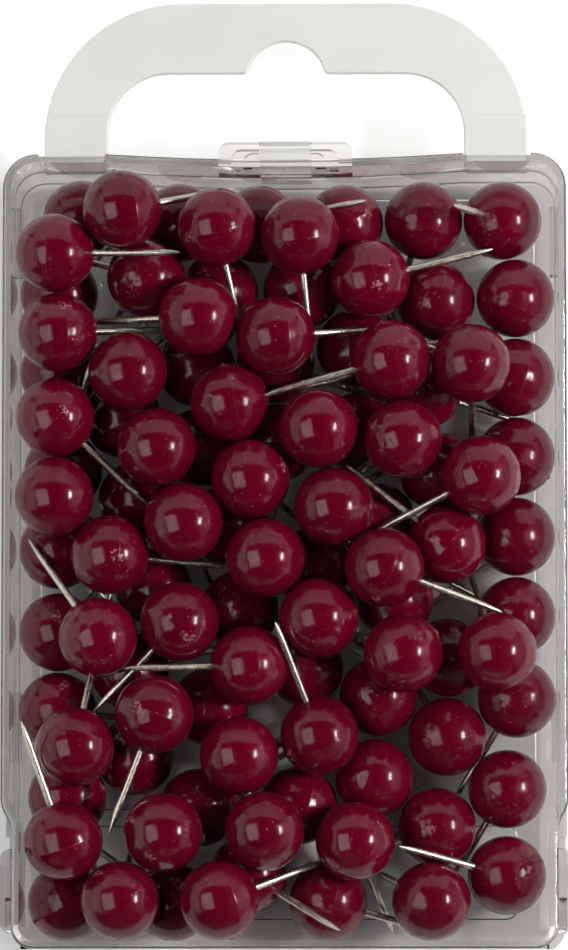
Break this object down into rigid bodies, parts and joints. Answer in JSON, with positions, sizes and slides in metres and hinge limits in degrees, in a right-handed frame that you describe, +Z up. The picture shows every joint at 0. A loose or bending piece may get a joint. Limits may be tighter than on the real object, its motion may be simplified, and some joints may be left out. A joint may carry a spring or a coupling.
{
  "type": "push pin pack",
  "caption": "Clear hinged hang pack of ball-head push pins: flat base with ears, swinging lid on pegs, latch tongue, U-shaped hang handle and loose steel-needled pins.",
  "frame": {"origin": "bottom centre of the closed pack's bounding box, lying on its base with the handle included", "axes": "+X to the right of the picture, +Y from the hinge end towards the hang handle, +Z up from the base to the lid"},
  "size_m": [0.0716, 0.1204, 0.0228],
  "materials": {
    "clear_base": "clear moulded polystyrene",
    "clear_lid": "clear moulded polystyrene",
    "handle": "pale translucent moulded plastic",
    "pin_head": "deep burgundy gloss plastic",
    "pin_needle": "bright drawn steel"
  },
  "bodies": {
    "base": {"base_tray": "clear_base", "hang_handle": "handle", "pin_heads_back_row_01": "pin_head", "pin_heads_back_row_02": "pin_head", "pin_heads_back_row_03": "pin_head", "pin_heads_back_row_04": "pin_head", "pin_heads_back_row_05": "pin_head", "pin_heads_back_row_06": "pin_head", "pin_heads_back_row_07": "pin_head", "pin_heads_back_row_08": "pin_head", "pin_heads_back_row_09": "pin_head", "pin_heads_back_row_10": "pin_head", "pin_heads_front_row_01": "pin_head", "pin_heads_front_row_02": "pin_head", "pin_heads_front_row_03": "pin_head", "pin_heads_front_row_04": "pin_head", "pin_heads_front_row_05": "pin_head", "pin_heads_front_row_06": "pin_head", "pin_heads_front_row_07": "pin_head", "pin_heads_front_row_08": "pin_head", "pin_heads_front_row_09": "pin_head", "pin_heads_front_row_10": "pin_head", "pin_heads_middle_row_01": "pin_head", "pin_needles_back_row_01": "pin_needle", "pin_needles_back_row_02": "pin_needle", "pin_needles_back_row_03": "pin_needle", "pin_needles_back_row_04": "pin_needle", "pin_needles_back_row_05": "pin_needle", "pin_needles_back_row_06": "pin_needle", "pin_needles_back_row_07": "pin_needle", "pin_needles_back_row_08": "pin_needle", "pin_needles_back_row_09": "pin_needle", "pin_needles_back_row_10": "pin_needle", "pin_needles_front_row_01": "pin_needle", "pin_needles_front_row_02": "pin_needle", "pin_needles_front_row_03": "pin_needle", "pin_needles_front_row_04": "pin_needle", "pin_needles_front_row_05": "pin_needle", "pin_needles_front_row_06": "pin_needle", "pin_needles_front_row_07": "pin_needle", "pin_needles_front_row_08": "pin_needle", "pin_needles_front_row_09": "pin_needle", "pin_needles_front_row_10": "pin_needle", "pin_needles_middle_row_01": "pin_needle"},
    "lid": {"lid": "clear_lid"}
  },
  "joints": [
    {"name": "lid_hinge", "type": "hinge", "parent": "base", "child": "lid", "pos_m": [0, -0.05515, 0.012], "axis": [1, 0, 0], "range_deg": [0, 110]}
  ]
}
